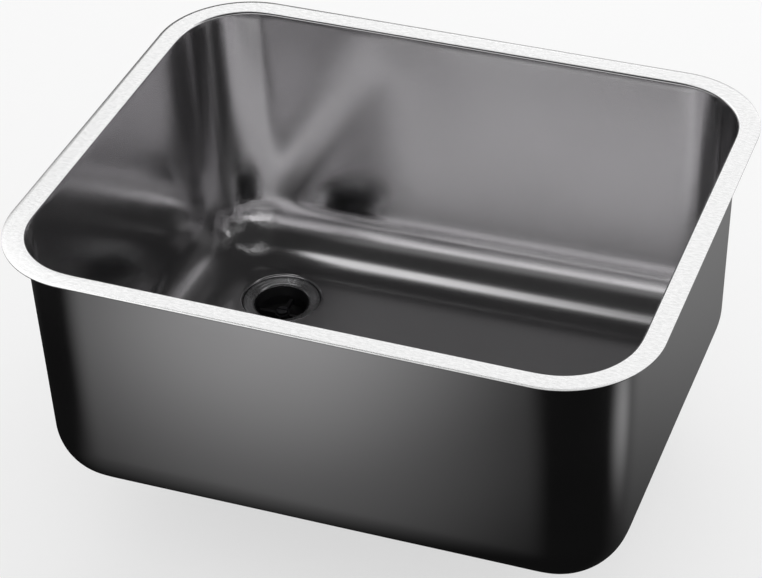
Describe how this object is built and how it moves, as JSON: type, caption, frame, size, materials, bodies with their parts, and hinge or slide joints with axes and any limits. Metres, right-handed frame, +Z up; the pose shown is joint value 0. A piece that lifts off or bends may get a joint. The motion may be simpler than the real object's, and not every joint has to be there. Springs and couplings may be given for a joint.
{
  "type": "undermount kitchen sink",
  "caption": "Rectangular undermount kitchen sink bowl pressed from one stainless sheet, with a flat flange, rounded corners and a screw-together corner waste.",
  "frame": {"origin": "centre of the flange's flat top, which seats against the underside of a worktop", "axes": "+X along the long side to the right, +Y to the back, +Z up out of the bowl; the waste is at the back left"},
  "size_m": [0.54, 0.443, 0.3134],
  "materials": {
    "brushed_stainless": "satin",
    "polished_stainless": "polished",
    "black_plastic": "moulded satin",
    "seal_rubber": "matt",
    "seal_foam": "matt",
    "damping_sheet": "matt, fine grain",
    "brass": "machined",
    "screw_steel": "bright"
  },
  "bodies": {
    "root": {"bowl": "brushed_stainless", "damping_pad_large": "damping_sheet", "damping_pad_small": "damping_sheet", "waste_flange": "polished_stainless", "waste_grid": "black_plastic", "upper_seal": "seal_foam", "lower_seal": "seal_rubber", "waste_body": "black_plastic", "threaded_insert": "brass", "centre_screw": "screw_steel"}
  },
  "joints": []
}
